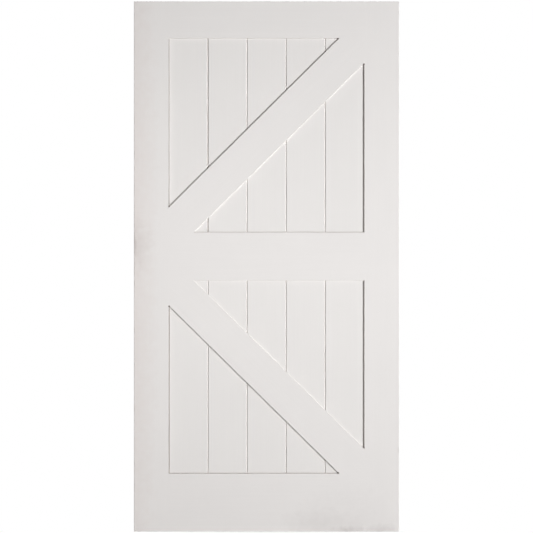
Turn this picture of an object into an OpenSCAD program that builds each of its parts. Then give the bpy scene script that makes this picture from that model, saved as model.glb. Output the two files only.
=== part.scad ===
// Framed and braced barn door slab: two stiles and three rails hold tongued and grooved planks,
// and two diagonal braces are planted over the planks on each face in a K pattern.
// X runs along the width, the front face looks towards -Y, and Z is up from the door's foot.

/* [Door] */
// Width over both stiles
door_w = 1067; // [760:1:1220]
// Height
door_h = 2134; // [1980:1:2440]
// Thickness of the frame
door_t = 35; // [32:0.5:45]

/* [Frame] */
// Width of each stile
stile_w = 140; // [100:1:180]
// Height of the top rail
top_rail_h = 148; // [100:1:200]
// Height of the middle rail
mid_rail_h = 195; // [120:1:240]
// Height of the bottom rail
bottom_rail_h = 234; // [150:1:300]
// Height of the middle rail's lower edge above the door's foot
mid_rail_z = 1010; // [850:1:1100]
// Width of the small bevel that eases each outer arris
arris = 1.5; // [0.5:0.1:2.5]
// Width of the smaller bevel round the planks and along the braces
inner_arris = 0.6; // [0.4:0.1:2]

/* [Housing groove] */
// Width of the groove round the inside of the frame
groove_w = 10; // [9:0.5:14]
// Depth of the groove
groove_d = 12; // [8:0.5:15]
// Clearance on each face of a tongue or a stub tenon in its groove
fit = 0.1; // [0.05:0.05:0.3]
// Room past the end of a tongue, a tenon or a dowel
end_room = 1; // [1:0.1:2]

/* [Dowels] */
// Diameter of a dowel
dowel_d = 16; // [10:0.5:18]
// Length of a dowel
dowel_l = 120; // [80:5:150]
// Radial clearance of a dowel in its bore
dowel_fit = 0.1; // [0.05:0.05:0.2]
// Length of the tapered lead at each end of a dowel
dowel_lead = 1.5; // [1:0.1:3]
// Height from a rail's edge to its nearest dowel
dowel_edge = 35; // [30:1:45]
// Greatest distance between two dowels in one joint
dowel_pitch = 90; // [60:1:110]
// Flutes round a dowel, which let the glue out
flute_n = 12; // [8:1:20]
// Radius of a flute
flute_r = 0.7; // [0.4:0.1:1]

/* [Planks] */
// Planks side by side in an opening
plank_n = 5; // [3:1:8]
// Depth of the planks' face below the frame's face
recess = 7.5; // [4:0.5:9]
// Width of the bevel along a plank's long edge, half of a V joint
v_bevel = 3; // [2:0.5:5]
// Thickness of the tongue between two planks
tongue_t = 8; // [5:0.5:9]
// Length of the tongue between two planks
tongue_l = 8; // [5:0.5:10]
// Gap between two planks at the foot of a V joint
joint_gap = 0.3; // [0.2:0.1:1]
// Gap between the first plank's shoulder and the left stile
left_gap = 3; // [1:0.1:4]
// Gap between the last plank's shoulder and the right stile
right_gap = 1.8; // [1:0.1:3]
// Gap between a plank's shoulder and the rail above it
head_gap = 0.2; // [0.1:0.1:2]
// Gap between a plank's shoulder and the rail below it
foot_gap = 1.6; // [0.2:0.1:2]
// How far the first upper plank has slipped to the left, which opens its joint
slip = 0.9; // [0:0.1:0.9]

/* [Braces] */
// Width of a brace
brace_w = 142; // [90:1:170]
// Thickness of the glue between a brace and the planks
glue_line = 0.05; // [0.02:0.01:0.2]

/* [Floor guide groove] */
// Width of the groove along the door's foot
guide_w = 7; // [5:0.5:12]
// Depth of the groove along the door's foot
guide_d = 18; // [12:0.5:25]

/* [Hidden] */
paint = [0.89, 0.88, 0.87];
paint_plank = [0.91, 0.90, 0.89];
beech = [0.80, 0.66, 0.47];

open_w = door_w - 2 * stile_w;
open_x = open_w / 2;
lower_z = [bottom_rail_h, mid_rail_z];
upper_z = [mid_rail_z + mid_rail_h, door_h - top_rail_h];
plank_t = door_t - 2 * recess;
pitch = open_w / plank_n;
housed_t = groove_w - 2 * fit;
housed_l = groove_d - end_room;
front = -1;
back = 1;
left = -1;
right = 1;
overcut = 1;
$fn = 48;

// Heights of the dowels in the joint of a rail that runs from z[0] up to z[1]
function dowel_heights(z) =
    let (span = z[1] - z[0] - 2 * dowel_edge, gaps = max(1, ceil(span / dowel_pitch)))
    [for (i = [0 : gaps]) z[0] + dowel_edge + i * span / gaps];

// Slope of a brace, corner to corner across an opening
function brace_angle(z) = atan2(z[1] - z[0], open_w);

// Where a brace's edges meet the stile, above the corner, and the rail, beside it
function brace_rise(z) = brace_w / 2 / cos(brace_angle(z));
function brace_run(z) = brace_w / 2 / sin(brace_angle(z));

// The two triangles of plank that a brace leaves in view, corners in turn, for a brace
// that climbs to the right
function lights(z) = [
    [[-open_x, z[0] + brace_rise(z)], [open_x - brace_run(z), z[1]], [-open_x, z[1]]],
    [[-open_x + brace_run(z), z[0]], [open_x, z[0]], [open_x, z[1] - brace_rise(z)]]
];

// The same two triangles turned over in height, for a brace that falls to the right
function turned_over(z) = [
    for (light = lights(z)) [for (i = [2 : -1 : 0]) [light[i][0], z[0] + z[1] - light[i][1]]]
];

all_lights = concat(lights(upper_z), turned_over(lower_z));

// A prism along X or Z whose section, drawn across the thickness, is bevelled at both faces
module eased_section(from, to) {
    t = door_t / 2;
    polygon([
        [from, -t + arris], [from + arris, -t], [to - arris, -t], [to, -t + arris],
        [to, t - arris], [to - arris, t], [from + arris, t], [from, t - arris]
    ]);
}

// The whole slab with its outer arrises eased, which trims each piece of the frame
module slab() {
    intersection() {
        linear_extrude(door_h) eased_section(-door_w / 2, door_w / 2);
        translate([-door_w / 2, 0, 0])
            rotate([90, 0, 90])
                linear_extrude(door_w)
                    rotate(90)
                        mirror([0, 1])
                            eased_section(0, door_h);
    }
}

// One side of an easing cutter: everything to the left of the edge p to q, with a slope that
// starts past the edge by the bevel's width at the face
module edge_cutter(p, q) {
    run = q - p;
    reach = door_w + door_h;
    translate([p[0], 0, p[1]])
        rotate([0, -atan2(run[1], run[0]), 0])
            translate([-reach / 2, -door_t / 2, 0])
                rotate([90, 0, 90])
                    linear_extrude(reach)
                        polygon([
                            [-overcut, -inner_arris - overcut], [inner_arris + overcut, overcut],
                            [inner_arris + overcut, reach], [-overcut, reach]
                        ]);
}

// Eases the front arris round every triangle of plank that shows
module front_easing() {
    for (light = all_lights)
        intersection() {
            edge_cutter(light[0], light[1]);
            edge_cutter(light[1], light[2]);
            edge_cutter(light[2], light[0]);
        }
}

module easing() {
    front_easing();
    mirror([0, 1, 0]) front_easing();
}

// Groove along the door's foot that a floor guide stands in
module guide_groove() {
    translate([-door_w / 2 - overcut, -guide_w / 2, -overcut])
        cube([door_w + 2 * overcut, guide_w, guide_d + overcut]);
}

// Bores of every dowel on one side, drilled across the joint of stile and rail
module dowel_bores(side) {
    for (z = [[0, bottom_rail_h], [lower_z[1], upper_z[0]], [upper_z[1], door_h]])
        for (height = dowel_heights(z))
            translate([side * open_x, 0, height])
                rotate([0, 90, 0])
                    cylinder(h = dowel_l + 2 * end_room, d = dowel_d + 2 * dowel_fit, center = true);
}

module stile(side) {
    inner = side * open_x;
    intersection() {
        slab();
        difference() {
            translate([min(inner, inner + side * stile_w), -door_t / 2, 0])
                cube([stile_w, door_t, door_h]);
            translate([min(inner - side * overcut, inner + side * groove_d), -groove_w / 2, -overcut])
                cube([groove_d + overcut, groove_w, door_h + 2 * overcut]);
            dowel_bores(side);
            guide_groove();
            easing();
        }
    }
}

// A rail from z[0] up to z[1] with a stub tenon at each end. grooves lists the heights of
// the edges that hold planks.
module rail(z, grooves) {
    intersection() {
        slab();
        difference() {
            union() {
                translate([-open_x, -door_t / 2, z[0]])
                    cube([open_w, door_t, z[1] - z[0]]);
                translate([-open_x - housed_l, -housed_t / 2, z[0]])
                    cube([open_w + 2 * housed_l, housed_t, z[1] - z[0]]);
            }
            for (edge = grooves)
                translate([0, 0, edge])
                    cube([door_w, groove_w, 2 * groove_d], center = true);
            dowel_bores(left);
            dowel_bores(right);
            guide_groove();
            easing();
        }
    }
}

// Section of plank i of a row: V bevels and a tongued and grooved joint where it meets
// another plank, a square shoulder and a housed tongue where it meets a stile
module plank_section(i) {
    first = i == 0;
    last = i == plank_n - 1;
    x0 = first ? -open_x + left_gap : -open_x + i * pitch + joint_gap / 2;
    x1 = last ? open_x - right_gap : -open_x + (i + 1) * pitch - joint_gap / 2;
    b0 = first ? 0 : v_bevel;
    b1 = last ? 0 : v_bevel;
    t = plank_t / 2;
    slot_l = tongue_l - joint_gap + end_room;
    difference() {
        union() {
            polygon([
                [x0, -t + b0], [x0 + b0, -t], [x1 - b1, -t], [x1, -t + b1],
                [x1, t - b1], [x1 - b1, t], [x0 + b0, t], [x0, t - b0]
            ]);
            if (!last)
                translate([x1 - overcut, -tongue_t / 2]) square([tongue_l + overcut, tongue_t]);
            if (first)
                translate([-open_x - housed_l, -housed_t / 2])
                    square([housed_l + left_gap + overcut, housed_t]);
            if (last)
                translate([x1 - overcut, -housed_t / 2])
                    square([housed_l + right_gap + overcut, housed_t]);
        }
        if (!first)
            translate([x0 - overcut, -tongue_t / 2 - fit])
                square([slot_l + overcut, tongue_t + 2 * fit]);
    }
}

// Plank i of the row in the opening from z[0] up to z[1], its ends housed in the rails
module plank(i, z) {
    union() {
        translate([0, 0, z[0] + foot_gap])
            linear_extrude(z[1] - z[0] - foot_gap - head_gap) plank_section(i);
        translate([0, 0, z[0] - housed_l])
            linear_extrude(z[1] - z[0] + 2 * housed_l)
                intersection() {
                    plank_section(i);
                    square([door_w, housed_t], center = true);
                }
    }
}

// Section of a brace across its width, on the front of the planks, with eased face arrises
module brace_section() {
    face_y = -door_t / 2;
    foot_y = -plank_t / 2 - glue_line;
    w = brace_w / 2;
    polygon([
        [foot_y, -w], [foot_y, w], [face_y + inner_arris, w], [face_y, w - inner_arris],
        [face_y, inner_arris - w], [face_y + inner_arris, -w]
    ]);
}

// A brace planted on the planks of one face: a board cut to a double mitre at each end so
// that it fills two corners of the opening. slope is 1 when it climbs to the right.
module brace(z, slope, face) {
    blank_l = norm([open_w, z[1] - z[0]]) + brace_w;
    intersection() {
        translate([-open_x, -door_t, z[0]])
            cube([open_w, 2 * door_t, z[1] - z[0]]);
        translate([0, 0, (z[0] + z[1]) / 2])
            rotate([0, -slope * brace_angle(z), 0])
                rotate([90, 0, 90])
                    linear_extrude(blank_l, center = true)
                        mirror([face == back ? 1 : 0, 0]) brace_section();
    }
}

// Fluted section of a dowel
module dowel_section() {
    difference() {
        circle(d = dowel_d);
        for (i = [0 : flute_n - 1])
            rotate(i * 360 / flute_n) translate([dowel_d / 2, 0]) circle(r = flute_r);
    }
}

// Fluted dowel with a tapered lead at each end, along X, its middle on the joint of stile
// and rail
module dowel() {
    lead_r = dowel_d / 2 - flute_r - dowel_lead / 2;
    body_l = dowel_l - 2 * dowel_lead;
    rotate([0, 90, 0]) {
        linear_extrude(body_l, center = true) dowel_section();
        for (end = [0, 180])
            rotate([end, 0, 0])
                translate([0, 0, body_l / 2])
                    cylinder(h = dowel_lead, r1 = lead_r, r2 = lead_r - dowel_lead / 2);
    }
}

module dowels(side, z) {
    color(beech)
        for (height = dowel_heights(z))
            translate([side * open_x, 0, height]) dowel();
}

module left_stile() color(paint) stile(left);
module right_stile() color(paint) stile(right);
module top_rail() color(paint) rail([upper_z[1], door_h], [upper_z[1]]);
module mid_rail() color(paint) rail([lower_z[1], upper_z[0]], [lower_z[1], upper_z[0]]);
module bottom_rail() color(paint) rail([0, bottom_rail_h], [bottom_rail_h]);
module upper_plank(i) color(paint_plank) translate([i == 0 ? -slip : 0, 0, 0]) plank(i, upper_z);
module lower_plank(i) color(paint_plank) plank(i, lower_z);
module upper_brace(face) color(paint) brace(upper_z, 1, face);
module lower_brace(face) color(paint) brace(lower_z, -1, face);
module top_dowels(side) dowels(side, [upper_z[1], door_h]);
module mid_dowels(side) dowels(side, [lower_z[1], upper_z[0]]);
module bottom_dowels(side) dowels(side, [0, bottom_rail_h]);

left_stile();
right_stile();
top_rail();
mid_rail();
bottom_rail();
for (i = [1 : plank_n])
    upper_plank(i - 1);
for (i = [1 : plank_n])
    lower_plank(i - 1);
upper_brace(front);  // upper_brace_front
lower_brace(front);  // lower_brace_front
upper_brace(back);  // upper_brace_back
lower_brace(back);  // lower_brace_back
top_dowels(left);  // top_left_dowels
top_dowels(right);  // top_right_dowels
mid_dowels(left);  // mid_left_dowels
mid_dowels(right);  // mid_right_dowels
bottom_dowels(left);  // bottom_left_dowels
bottom_dowels(right);  // bottom_right_dowels
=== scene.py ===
"""A white painted sliding barn door slab: framed, planked and braced in a K on both faces."""

from math import atan2, pi, radians

import bmesh
import bpy
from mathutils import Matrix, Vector


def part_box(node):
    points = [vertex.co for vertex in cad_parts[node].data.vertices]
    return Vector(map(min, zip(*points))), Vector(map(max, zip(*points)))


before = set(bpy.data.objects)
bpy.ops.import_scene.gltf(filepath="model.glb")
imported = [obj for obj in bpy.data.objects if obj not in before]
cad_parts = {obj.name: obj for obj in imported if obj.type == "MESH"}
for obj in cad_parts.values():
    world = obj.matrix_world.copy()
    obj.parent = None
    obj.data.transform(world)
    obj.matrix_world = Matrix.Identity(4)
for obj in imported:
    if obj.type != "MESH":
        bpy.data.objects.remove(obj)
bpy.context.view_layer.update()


# Stiles
# The two upright boards of the frame, solid softwood the full height of the door. They are
# sprayed with undercoat, sanded, and finished with rolled white satin paint, which leaves a
# fine stipple and lets a little of the long grain show through.
STILE_EDGE = 0.5335
FRONT_FACE = -0.0175
DOOR_MIDDLE = 1.067
UPRIGHT = 0.0

STILE_PAINT = (0.800, 0.779, 0.768)
# Painted shade: a darker, browner tone for the recess walls and the feet of the joints, where
# shade falls
PAINTED_SHADE_TINT = (0.54, 0.475, 0.43)
BARE_PINE = (0.33, 0.22, 0.14)
SMUDGE_GREY = (0.46, 0.43, 0.42)
# A darker, browner tone for the strip down the left edge
EDGE_STRIP_BROWN = (0.54, 0.39, 0.34)
# Painted shade for the acute corners of the openings
CORNER_SHADE = (0.20, 0.15, 0.13)

# Scale and detail of each noise, and its roughness where that isn't the usual 0.5
GRAIN = (130.0, 4.0, 0.6)
STIPPLE = (620.0, 2.0)
CLOUD = (2.6, 3.0, 0.55)
MARK_OUTLINE = (38.0, 3.0)

GRAIN_LENGTH = 40.0
CLOUD_TONE = 0.05
GRAIN_TONE = 0.03
SATIN = 0.58
STIPPLE_DULLING = 0.12
CLOUD_DULLING = 0.08
SKIN_STRENGTH = 0.35
SKIN_HEIGHT = 0.00025
MARK_DEPTH = 0.02
MARK_RAGGEDNESS = 0.8

INNER_HALF_WIDTH = 0.52
INNER_HALF_HEIGHT = 1.05
GROOVE_WALL = 0.00505
UNDER_FACE = 0.0173
PAINTED_SHADE_SHARE = 0.36


class Layer:
    """A value, colour or vector over a surface. Arithmetic on it adds the Math nodes."""

    def __init__(self, tree, socket):
        self.tree = tree
        self.socket = socket

    def node(self, kind, settings, inputs, output=0):
        """Adds a node: its type, its settings, then the values or links of its sockets."""
        made = self.tree.nodes.new("ShaderNode" + kind)
        for name, value in settings.items():
            setattr(made, name, value)
        for name, value in inputs.items():
            if isinstance(value, Layer):
                self.tree.links.new(value.socket, made.inputs[name])
            else:
                made.inputs[name].default_value = value
        return Layer(self.tree, made.outputs[output])

    def math(self, operation, *values):
        return self.node("Math", {"operation": operation}, dict(enumerate(values)))

    def __add__(self, other):
        return self.math("ADD", self, other)

    __radd__ = __add__

    def __sub__(self, other):
        return self.math("SUBTRACT", self, other)

    def __rsub__(self, other):
        return self.math("SUBTRACT", other, self)

    def __mul__(self, other):
        return self.math("MULTIPLY", self, other)

    __rmul__ = __mul__

    def __truediv__(self, other):
        return self.math("DIVIDE", self, other)

    def __rtruediv__(self, other):
        return self.math("DIVIDE", other, self)

    def __abs__(self):
        return self.math("ABSOLUTE", self)

    def clamped(self):
        return self.math("MINIMUM", self.math("MAXIMUM", self, 0.0), 1.0)

    def below(self, limit):
        """1 where this value is under the limit and 0 over it."""
        return self.math("LESS_THAN", self, limit)

    def along(self, axis):
        """One coordinate of this vector: 0 for X, 1 for Y, 2 for Z."""
        return self.node("SeparateXYZ", {}, {"Vector": self}, output=axis)

    def length(self):
        """How long this vector is, as a value."""
        return self.node("VectorMath", {"operation": "LENGTH"}, {0: self}, output=1)

    def blended(self, low, high):
        """The first colour where this value is 0 and the second where it is 1."""
        return self.node("Mix", {"data_type": "RGBA"}, {0: self, 6: low, 7: high}, output=2)

    def mixed(self, colour, mask):
        """This colour, with another laid over it where the mask is 1."""
        return mask.blended(self, (*colour, 1.0))

    def toned(self, colour):
        """A colour made as much lighter or darker as this value is over or under 1."""
        return self.node("HueSaturation", {}, {"Color": (*colour, 1.0), "Value": self})

    def noise(self, scale, detail=2.0, roughness=0.5):
        inputs = {"Vector": self, "Scale": scale, "Detail": detail, "Roughness": roughness}
        return self.node("TexNoise", {}, inputs)

    def raised(self, strength, height):
        """The bumps that this value stands for."""
        inputs = {"Height": self, "Strength": strength, "Distance": height}
        return self.node("Bump", {}, inputs)

    def stretched(self, lean, length):
        """These coordinates turned so that a board leaning by this angle lies along Z, and
        drawn out along it by this much."""
        turn = {"Vector": self, "Angle": lean}
        upright = self.node("VectorRotate", {"rotation_type": "Y_AXIS"}, turn)
        drawn_out = {"Vector": upright, "Scale": (1.0, 1.0, 1.0 / length)}
        return upright.node("Mapping", {}, drawn_out)

    def smudge(self, centre, reach, blur, ragged):
        """1 at a mark's middle and 0 past its reach along X and Z, with an outline as ragged
        as the layer handed over."""
        sizes = (reach[0], MARK_DEPTH, reach[1])
        centred = {
            "Vector": self,
            "Location": tuple(-at / size for at, size in zip(centre, sizes)),
            "Scale": tuple(1.0 / size for size in sizes),
        }
        distance = self.node("Mapping", {}, centred).length()
        return ((1.0 - distance - ragged) / blur).clamped()


def start_finish(name):
    """A new material with its shader, and the piece's own coordinates as a layer."""
    material = bpy.data.materials.new(name)
    material.use_nodes = True
    tree = material.node_tree
    shader = tree.nodes["Principled BSDF"]
    coordinates = tree.nodes.new("ShaderNodeTexCoord")
    return material, shader, Layer(tree, coordinates.outputs["Object"])


def connect(layer, target, socket):
    layer.tree.links.new(layer.socket, target.inputs[socket])


def inside(place):
    """The inner part of the slab, away from its four outer edges."""
    from_sides = abs(place.along(0)).below(INNER_HALF_WIDTH)
    from_ends = abs(place.along(2) - DOOR_MIDDLE).below(INNER_HALF_HEIGHT)
    return from_sides * from_ends


def from_middle(place):
    """The distance from the plane through the middle of the slab's thickness."""
    return abs(place.along(1))


def housing(place):
    """The walls of the 10 mm grooves and of the bores in the frame, which no paint reaches."""
    return inside(place) * from_middle(place).below(GROOVE_WALL)


def inner_edge_shade(place):
    """The narrow edges that stand up beside the planks, just under the face, given painted
    shade: a darker, browner tone for the shade in the recess."""
    return inside(place) * from_middle(place).below(UNDER_FACE) * PAINTED_SHADE_SHARE


def painted_wood(name, paint, lean, unpainted, painted_shade, marks=(), brushed=0.0):
    """White satin paint over a board that leans by this angle from upright: rolled, or
    brushed along it where brushed is 1. Each mark is a centre, a reach, a blur, a strength
    and a colour."""
    material, shader, place = start_finish(name)
    grain = place.stretched(lean, GRAIN_LENGTH).noise(*GRAIN)
    stipple = place.noise(*STIPPLE)
    cloud = place.noise(*CLOUD)

    tone = (cloud - 0.5) * CLOUD_TONE + (grain - 0.5) * GRAIN_TONE
    colour = (tone + 1.0).toned(paint)
    # Painted shade: the walls of the recesses and the feet of the joints are made darker and
    # browner
    colour = colour.mixed(PAINTED_SHADE_TINT, painted_shade(place))
    ragged = (place.noise(*MARK_OUTLINE) - 0.5) * MARK_RAGGEDNESS
    for centre, reach, blur, strength, tint in marks:
        colour = colour.mixed(tint, place.smudge(centre, reach, blur, ragged) * strength)
    connect(colour.mixed(BARE_PINE, unpainted(place)), shader, "Base Color")
    dulling = (stipple - 0.5) * STIPPLE_DULLING + (cloud - 0.5) * CLOUD_DULLING
    connect(dulling + SATIN, shader, "Roughness")

    # The brush wipes out most of the stipple and leaves its strokes along the grain
    skin = stipple * (0.5 - 0.4 * brushed) + grain * (0.8 + brushed)
    connect(skin.raised(SKIN_STRENGTH, SKIN_HEIGHT), shader, "Normal")
    return material


def face_mark(x, z, reach, blur, strength, tint=SMUDGE_GREY):
    """A mark on the front face."""
    return (x, FRONT_FACE, z), reach, blur, strength, tint


# Specks of painted shade in the acute corners at the ends of the braces and of the openings,
# 2.5 mm under the face
corner_shade_marks = [
    ((x, FRONT_FACE + 0.0025, z), (0.0052, 0.0052), 0.6, 0.75, CORNER_SHADE)
    for x, z in (
        (0.2880, 1.9840), (-0.3920, 1.3090), (-0.3920, 0.9065),
        (0.2880, 0.2360), (0.3920, 1.8815), (0.3920, 0.3380),
    )
]


def dress(node, material):
    """Gives a CAD node's object one finish all over."""
    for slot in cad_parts[node].material_slots:
        slot.material = material


# On the left edge, where hands take hold of the door, a dark spot in a paler one lies over a
# darker, browner strip that runs from top to foot. A small spot is low down beside the planks.
left_stile_paint = painted_wood(
    "left_stile_paint",
    STILE_PAINT,
    UPRIGHT,
    housing,
    inner_edge_shade,
    marks=corner_shade_marks + [
        face_mark(-STILE_EDGE, 1.155, (0.013, 0.056), 0.7, 0.46),
        face_mark(-STILE_EDGE, 1.150, (0.085, 0.120), 1.3, 0.36),
        face_mark(-STILE_EDGE, 1.150, (0.100, 2.200), 1.3, 0.23, EDGE_STRIP_BROWN),
        face_mark(-0.356, 0.115, (0.016, 0.022), 0.8, 0.16),
    ],
)
# The right stile has a nick in its edge, and the ends of the bottom rail's scuffs and haze.
right_stile_paint = painted_wood(
    "right_stile_paint",
    STILE_PAINT,
    UPRIGHT,
    housing,
    inner_edge_shade,
    marks=corner_shade_marks + [
        face_mark(0.5325, 0.325, (0.006, 0.020), 0.8, 0.35),
        face_mark(0.468, 0.002, (0.085, 0.034), 1.2, 0.46),
        face_mark(0.360, 0.040, (0.200, 0.160), 1.5, 0.16),
    ],
)
dress("left_stile", left_stile_paint)
dress("right_stile", right_stile_paint)


# Rails
# The top, middle and bottom boards of the frame, of the same softwood, doweled and stub
# tenoned between the stiles and finished with them, but with their grain lying level. Feet
# have scuffed the bottom one, right of its middle.
LEVEL = pi / 2
rail_paint = painted_wood(
    "rail_paint", STILE_PAINT, LEVEL, housing, inner_edge_shade, corner_shade_marks
)
foot_rail_paint = painted_wood(
    "foot_rail_paint",
    STILE_PAINT,
    LEVEL,
    housing,
    inner_edge_shade,
    marks=corner_shade_marks + [
        face_mark(0.215, 0.030, (0.170, 0.075), 1.4, 0.22),
        face_mark(0.335, 0.000, (0.085, 0.028), 1.1, 0.50),
        face_mark(0.360, 0.040, (0.280, 0.160), 1.5, 0.16),
    ],
)
dress("top_rail", rail_paint)
dress("mid_rail", rail_paint)
dress("bottom_rail", foot_rail_paint)


# Planks
# Five tongued and grooved boards in each opening, upright, with a bevel down each long edge
# so that two of them meet in a V. They are painted with a brush before they go in.
PLANK_PAINT = (0.800, 0.781, 0.768)
TONGUE_WALL = 0.0042
HOUSED_FROM = 0.3936
BEVEL_FOOT = 0.0078
BEVEL_BLUR = 0.0010


def tongues(place):
    """What the frame and the next plank hide: the housed tongues, and the tongues and slots
    of the V joints."""
    in_joint = from_middle(place).below(TONGUE_WALL)
    in_stile = 1.0 - abs(place.along(0)).below(HOUSED_FROM)
    return (in_joint + in_stile).clamped()


def joints(place):
    """What lies deeper than the V bevels: the feet of the joints and the tongues that show in
    the gaps beside the frame, given painted shade: a darker, browner tone for these crevices."""
    return ((BEVEL_FOOT - from_middle(place)) / BEVEL_BLUR).clamped()


plank_paint = painted_wood(
    "plank_paint", PLANK_PAINT, UPRIGHT, tongues, joints, corner_shade_marks, brushed=1.0
)
for row in ("upper", "lower"):
    for place_in_row in range(1, 6):
        dress(f"{row}_plank_{place_in_row}", plank_paint)


# Braces
# One board across each opening on each face, mitred twice at both ends and planted over the
# planks with glue and pins, which the paint hides.
BRACE_UNDERSIDE = 0.01006


def brace_lean(node):
    """The angle between a brace and an upright board."""
    low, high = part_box(node)
    return atan2(high[0] - low[0], high[2] - low[2])


def glued_face(place):
    """The side that is glued to the planks, 10 mm from the slab's middle."""
    return from_middle(place).below(BRACE_UNDERSIDE)


climbing_paint = painted_wood(
    "climbing_brace_paint",
    STILE_PAINT,
    -brace_lean("upper_brace_front"),
    glued_face,
    inner_edge_shade,
    corner_shade_marks,
)
falling_paint = painted_wood(
    "falling_brace_paint",
    STILE_PAINT,
    brace_lean("lower_brace_front"),
    glued_face,
    inner_edge_shade,
    corner_shade_marks,
)
for face in ("front", "back"):
    dress(f"upper_brace_{face}", climbing_paint)
    dress(f"lower_brace_{face}", falling_paint)


# Dowels
# Turned beech pins, two or three to each joint of a stile and a rail, fluted along their
# length to let the glue out. They lie inside the frame and have no finish.
BEECH_DARK = (0.46, 0.27, 0.12, 1.0)
BEECH_LIGHT = (0.70, 0.47, 0.25, 1.0)
FLECK_BROWN = (0.30, 0.16, 0.07)
BEECH_LENGTH = 18.0
RINGS = (420.0, 5.0, 0.6)
FLECKS = (1500.0, 1.0)
FLECKS_OVER = 0.62


def turned_beech(name):
    """Bare beech that lies level: pale and dark years with short dark flecks."""
    material, shader, place = start_finish(name)
    along = place.stretched(LEVEL, BEECH_LENGTH)
    rings = along.noise(*RINGS)
    flecks = ((along.noise(*FLECKS) - FLECKS_OVER) * 6.0).clamped() * 0.5
    wood = rings.blended(BEECH_DARK, BEECH_LIGHT)
    connect(wood.mixed(FLECK_BROWN, flecks), shader, "Base Color")
    connect(rings * 0.15 + 0.55, shader, "Roughness")
    connect(rings.raised(strength=0.3, height=0.0002), shader, "Normal")
    return material


beech = turned_beech("turned_beech")
for joint in ("top", "mid", "bottom"):
    for side in ("left", "right"):
        dress(f"{joint}_{side}_dowels", beech)


# Floor
# A plain pale studio floor that the door stands on. The camera sees it white, apart from a
# little of its own shade close to the door, which keeps the door's shadow.
FLOOR_REACH = 30.0
FLOOR_GREY = (0.62, 0.61, 0.60)
FLOOR_ROUGHNESS = 0.8
FLOOR_SPECULAR = 0.2
FLOOR_WHITE_NEAR = 0.93
FLOOR_WHITE_RISE = 0.18
WHITE = (1.0, 1.0, 1.0, 1.0)


def seen_directly(tree):
    """1 for what the camera sees, straight, mirrored or through glass, and 0 for the light
    that falls on the door."""
    rays = tree.nodes.new("ShaderNodeLightPath")
    seen = Layer(tree, rays.outputs["Is Camera Ray"])
    mirrored = Layer(tree, rays.outputs["Is Glossy Ray"])
    through = Layer(tree, rays.outputs["Is Transmission Ray"])
    return (seen + mirrored + through).clamped()


def studio_floor():
    sheet = bmesh.new()
    bmesh.ops.create_grid(sheet, x_segments=2, y_segments=2, size=FLOOR_REACH)
    mesh = bpy.data.meshes.new("studio_floor")
    sheet.to_mesh(mesh)
    sheet.free()
    floor = bpy.data.objects.new("studio_floor", mesh)
    bpy.context.scene.collection.objects.link(floor)

    material, shader, place = start_finish("pale_floor")
    tree = material.node_tree
    tone = (place.noise(1.5, 3.0) - 0.5) * 0.02 + 1.0
    connect(tone.toned(FLOOR_GREY), shader, "Base Color")
    shader.inputs["Roughness"].default_value = FLOOR_ROUGHNESS
    shader.inputs["Specular IOR Level"].default_value = FLOOR_SPECULAR
    lit = Layer(tree, shader.outputs["BSDF"])
    white = place.node("Emission", {}, {"Color": WHITE, "Strength": 1.0})
    white_share = (place.length() * FLOOR_WHITE_RISE + FLOOR_WHITE_NEAR).clamped()
    share = seen_directly(tree) * white_share
    blend = share.node("MixShader", {}, {0: share, 1: lit, 2: white})
    connect(blend, tree.nodes["Material Output"], "Surface")
    mesh.materials.append(material)
    return floor


studio_floor()


# Light
# A soft low light from the right picks out the recessed planks. A faint one stands straight
# in front, two more light the back and the top, and the dim sky shows white to the camera.
LAMP_WHITE = (1.0, 0.99, 0.98)
KEY_WHITE = (0.985, 0.990, 0.995)
SKY_WARM = (1.0, 0.94, 0.88, 1.0)
SKY_STRENGTH = 0.116


def soft_light(name, place, aim, size, watts, spread=180.0, colour=LAMP_WHITE):
    """A square lamp of this size in metres, whose light spreads over this many degrees."""
    lamp = bpy.data.lights.new(name, "AREA")
    lamp.shape = "RECTANGLE"
    lamp.size = lamp.size_y = size
    lamp.spread = radians(spread)
    lamp.energy = watts
    lamp.color = colour
    light = bpy.data.objects.new(name, lamp)
    light.location = place
    light.rotation_euler = (Vector(aim) - Vector(place)).to_track_quat("-Z", "Y").to_euler()
    light.visible_camera = False
    bpy.context.scene.collection.objects.link(light)


soft_light(
    "key_light", (5.27, -5.75, 0.62), (-1.40, 0.0, 1.60), 0.8, 145.5,
    spread=92.0, colour=KEY_WHITE,
)
soft_light("fill_light", (-0.38, -1.57, 1.12), (-0.38, 0.0, 1.12), 0.5, 3.0)
soft_light("back_light", (-3.6, 3.4, 1.9), (0.0, 0.0, DOOR_MIDDLE), 1.0, 160.0)
soft_light("top_light", (0.5, 1.3, 4.4), (0.0, 0.1, 2.1), 1.2, 40.0)


def sky():
    world = bpy.data.worlds.new("studio_sky")
    bpy.context.scene.world = world
    world.use_nodes = True
    tree = world.node_tree
    share = seen_directly(tree)
    white = share.node("Background", {}, {"Color": WHITE, "Strength": 1.0})
    dim = share.node("Background", {}, {"Color": SKY_WARM, "Strength": SKY_STRENGTH})
    blend = share.node("MixShader", {}, {0: share, 1: dim, 2: white})
    connect(blend, tree.nodes["World Output"], "Surface")


sky()
bpy.context.scene.view_settings.view_transform = "Standard"


# Camera
# Square on to the front face and level with its middle, as the door was photographed. It
# stands back as far as its lens needs for a picture a little taller than the door.
CAMERA_LENS = 100.0
CAMERA_SENSOR = 36.0
PICTURE_HEIGHT = 2.1453

camera_data = bpy.data.cameras.new("camera")
camera_data.lens = CAMERA_LENS
camera_data.sensor_width = CAMERA_SENSOR
camera = bpy.data.objects.new("camera", camera_data)
stand_off = PICTURE_HEIGHT * CAMERA_LENS / CAMERA_SENSOR
camera.location = (0.0, FRONT_FACE - stand_off, DOOR_MIDDLE)
camera.rotation_euler = (radians(90.0), 0.0, 0.0)
bpy.context.scene.collection.objects.link(camera)
bpy.context.scene.camera = camera
